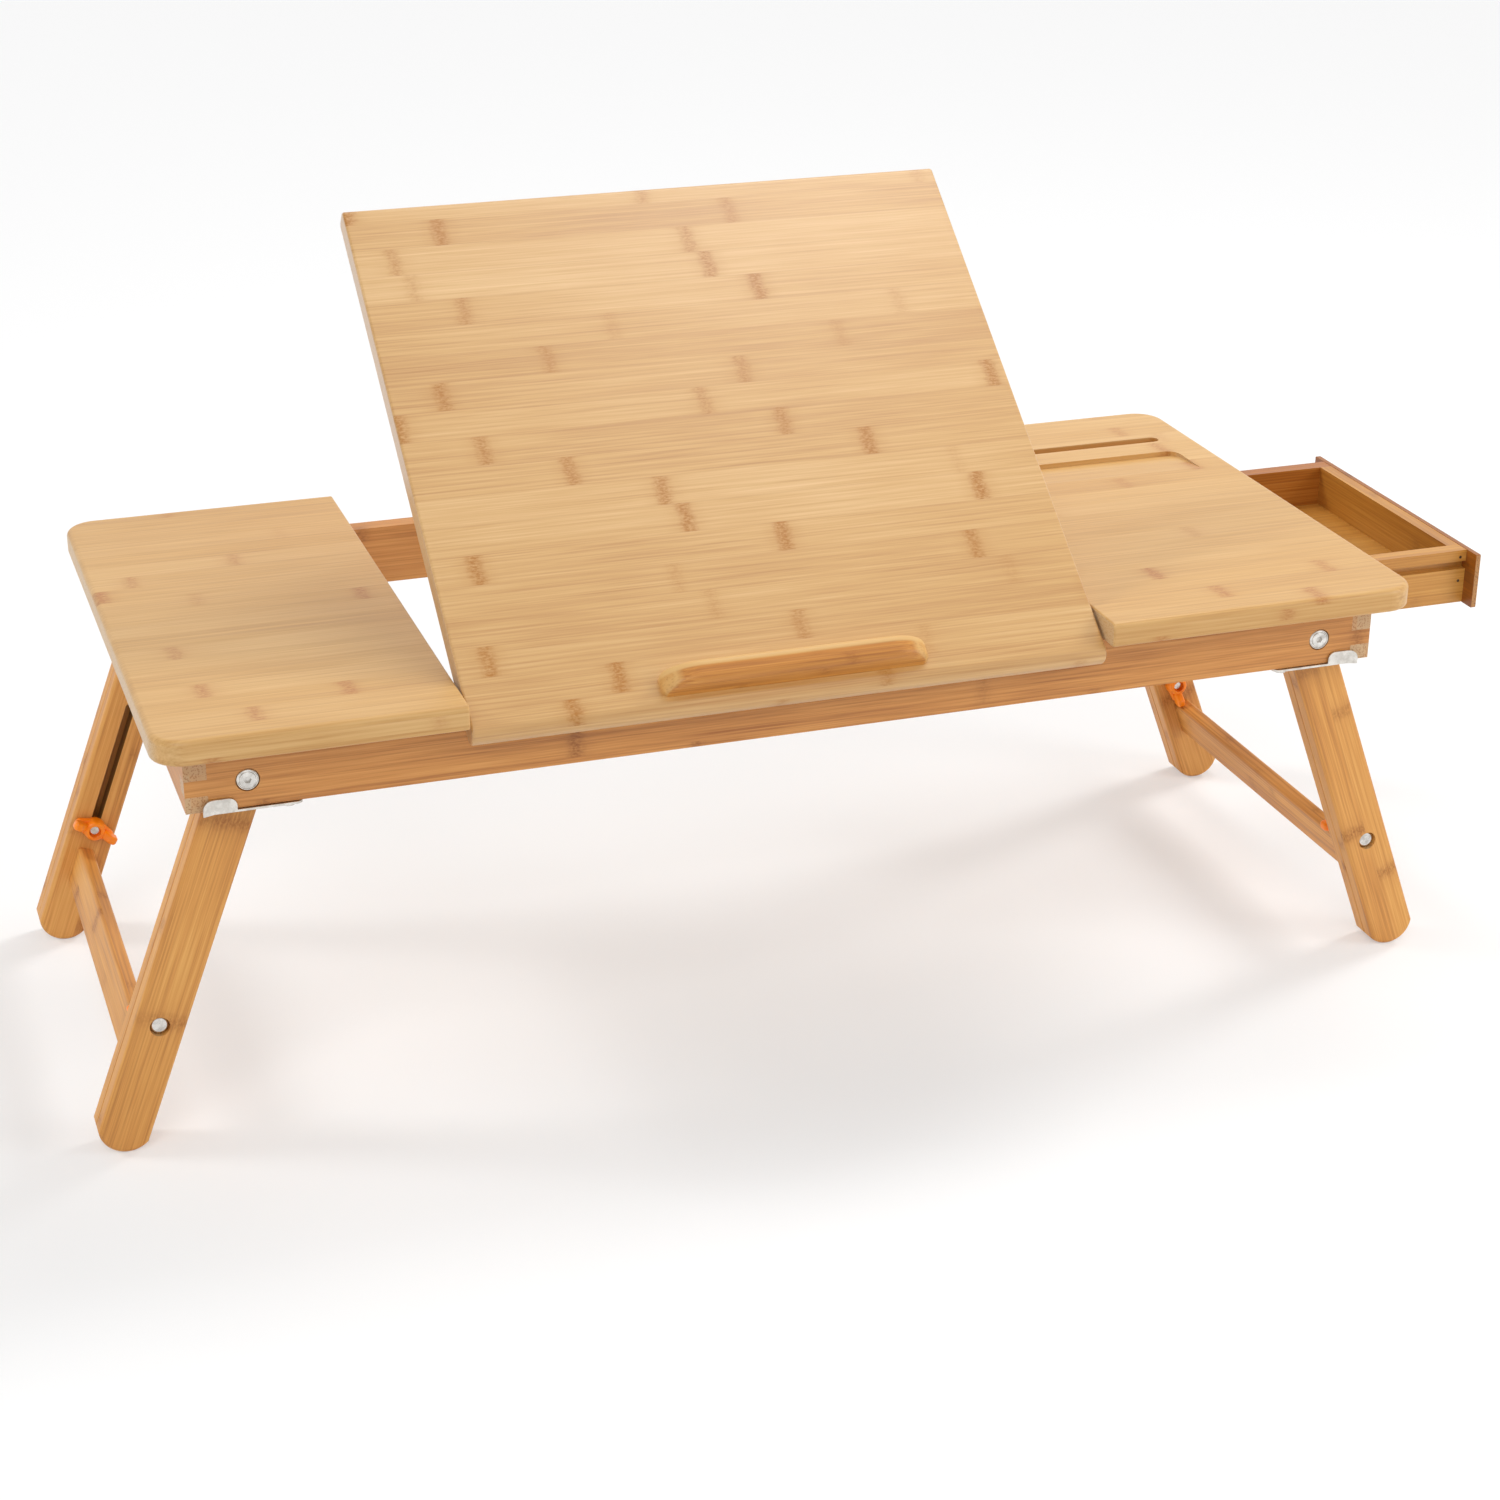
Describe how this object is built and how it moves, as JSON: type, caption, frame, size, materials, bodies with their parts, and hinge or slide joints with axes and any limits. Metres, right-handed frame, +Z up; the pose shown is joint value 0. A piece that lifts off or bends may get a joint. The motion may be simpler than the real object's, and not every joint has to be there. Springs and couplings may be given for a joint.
{
  "type": "lap desk",
  "caption": "Folding bamboo lap desk with a tilting centre flap and book ledge, a side drawer, a phone slot and telescoping legs locked by wing nuts.",
  "frame": {"origin": "centre of the bounding box on the floor, with the drawer partly open and the legs unfolded", "axes": "+X along the table towards the drawer, +Y away from the user, +Z up"},
  "size_m": [0.8486, 0.35, 0.4437],
  "materials": {
    "bamboo_top": "satin lacquered light bamboo",
    "bamboo_rail": "satin lacquered bamboo",
    "bamboo_leg": "satin lacquered bamboo",
    "bamboo_drawer": "satin bamboo",
    "steel": "zinc plated",
    "spring_steel": "bright plated sheet",
    "orange_plastic": "moulded bright orange"
  },
  "bodies": {
    "frame": {"front_rail": "bamboo_rail", "back_rail": "bamboo_rail", "left_rail": "bamboo_rail", "right_rail": "bamboo_rail", "left_panel": "bamboo_top", "right_panel": "bamboo_top", "drawer_runner_front": "bamboo_rail", "drawer_runner_back": "bamboo_rail", "runner_screws": "steel", "drawer_stop": "bamboo_rail", "prop_rack": "steel", "rack_screws": "steel", "flap_hinge_pin_left": "steel", "flap_hinge_pin_right": "steel", "pivot_washers": "steel", "latch_screws": "steel", "pivot_bolt_front_left": "steel", "pivot_bolt_front_right": "steel", "pivot_bolt_back_left": "steel", "pivot_bolt_back_right": "steel"},
    "flap": {"flap_board": "bamboo_top", "ledge": "bamboo_top", "ledge_dowels": "bamboo_rail", "prop_bracket_left": "steel", "prop_bracket_right": "steel", "bracket_screws": "steel"},
    "prop": {"prop_bail": "steel"},
    "drawer": {"drawer_face": "bamboo_drawer", "drawer_side_front": "bamboo_drawer", "drawer_side_back": "bamboo_drawer", "drawer_end_outer": "bamboo_drawer", "drawer_end_inner": "bamboo_drawer", "drawer_bottom": "bamboo_drawer", "drawer_nails": "steel"},
    "left_legs": {"leg_outer_front_left": "bamboo_leg", "leg_outer_back_left": "bamboo_leg", "lock_bolt_front_left": "steel", "lock_bolt_back_left": "steel"},
    "left_feet": {"leg_inner_front_left": "bamboo_leg", "leg_inner_back_left": "bamboo_leg", "stretcher_left": "bamboo_leg", "stretcher_screws_left": "steel"},
    "nut_front_left": {"wing_nut_front_left": "orange_plastic"},
    "nut_back_left": {"wing_nut_back_left": "orange_plastic"},
    "right_legs": {"leg_outer_front_right": "bamboo_leg", "leg_outer_back_right": "bamboo_leg", "lock_bolt_front_right": "steel", "lock_bolt_back_right": "steel"},
    "right_feet": {"leg_inner_front_right": "bamboo_leg", "leg_inner_back_right": "bamboo_leg", "stretcher_right": "bamboo_leg", "stretcher_screws_right": "steel"},
    "nut_front_right": {"wing_nut_front_right": "orange_plastic"},
    "nut_back_right": {"wing_nut_back_right": "orange_plastic"},
    "latch_front_left": {"latch_front_left": "spring_steel"},
    "latch_front_right": {"latch_front_right": "spring_steel"},
    "latch_back_left": {"latch_back_left": "spring_steel"},
    "latch_back_right": {"latch_back_right": "spring_steel"}
  },
  "joints": [
    {"name": "flap_tilt", "type": "hinge", "parent": "frame", "child": "flap", "pos_m": [-0.03805, -0.147, 0.24442], "axis": [1, 0, 0], "range_deg": [-37.3, 0]},
    {"name": "prop_fold", "type": "hinge", "parent": "flap", "child": "prop", "pos_m": [-0.03805, -0.04551, 0.30853], "axis": [1, 0, 0], "range_deg": [0, 74.6]},
    {"name": "drawer_slide", "type": "slide", "parent": "frame", "child": "drawer", "axis": [1, 0, 0], "range_m": [-0.1015, 0.0339]},
    {"name": "left_legs_fold", "type": "hinge", "parent": "frame", "child": "left_legs", "pos_m": [-0.33369, 0, 0.21642], "axis": [0, -1, 0], "range_deg": [0, 110.5]},
    {"name": "left_feet_slide", "type": "slide", "parent": "left_legs", "child": "left_feet", "axis": [-0.3502, 0, -0.9367], "range_m": [0, 0.08]},
    {"name": "wing_nut_front_left_turn", "type": "hinge", "parent": "left_legs", "child": "nut_front_left", "pos_m": [-0.3871, -0.1168, 0.07357], "axis": [0, 1, 0], "continuous": true},
    {"name": "wing_nut_back_left_turn", "type": "hinge", "parent": "left_legs", "child": "nut_back_left", "pos_m": [-0.3871, 0.1218, 0.07357], "axis": [0, -1, 0], "continuous": true},
    {"name": "right_legs_fold", "type": "hinge", "parent": "frame", "child": "right_legs", "pos_m": [0.2866, 0, 0.21642], "axis": [0, 1, 0], "range_deg": [0, 110.5]},
    {"name": "right_feet_slide", "type": "slide", "parent": "right_legs", "child": "right_feet", "axis": [0.3502, 0, -0.9367], "range_m": [0, 0.08]},
    {"name": "wing_nut_front_right_turn", "type": "hinge", "parent": "right_legs", "child": "nut_front_right", "pos_m": [0.34001, -0.1168, 0.07357], "axis": [0, 1, 0], "continuous": true},
    {"name": "wing_nut_back_right_turn", "type": "hinge", "parent": "right_legs", "child": "nut_back_right", "pos_m": [0.34001, 0.1218, 0.07357], "axis": [0, -1, 0], "continuous": true},
    {"name": "latch_front_left_swing", "type": "hinge", "parent": "frame", "child": "latch_front_left", "pos_m": [-0.31255, -0.14775, 0.19992], "axis": [0, 0, 1], "range_deg": [0, 14], "stiffness_Nm_per_rad": 0.08},
    {"name": "latch_front_right_swing", "type": "hinge", "parent": "frame", "child": "latch_front_right", "pos_m": [0.26545, -0.14775, 0.19992], "axis": [0, 0, -1], "range_deg": [0, 14], "stiffness_Nm_per_rad": 0.08},
    {"name": "latch_back_left_swing", "type": "hinge", "parent": "frame", "child": "latch_back_left", "pos_m": [-0.31255, 0.15275, 0.19992], "axis": [0, 0, -1], "range_deg": [0, 14], "stiffness_Nm_per_rad": 0.08},
    {"name": "latch_back_right_swing", "type": "hinge", "parent": "frame", "child": "latch_back_right", "pos_m": [0.26545, 0.15275, 0.19992], "axis": [0, 0, 1], "range_deg": [0, 14], "stiffness_Nm_per_rad": 0.08}
  ],
  "couplings": [
    {"joint": "prop_fold", "follows": "flap_tilt", "ratio": -2}
  ]
}
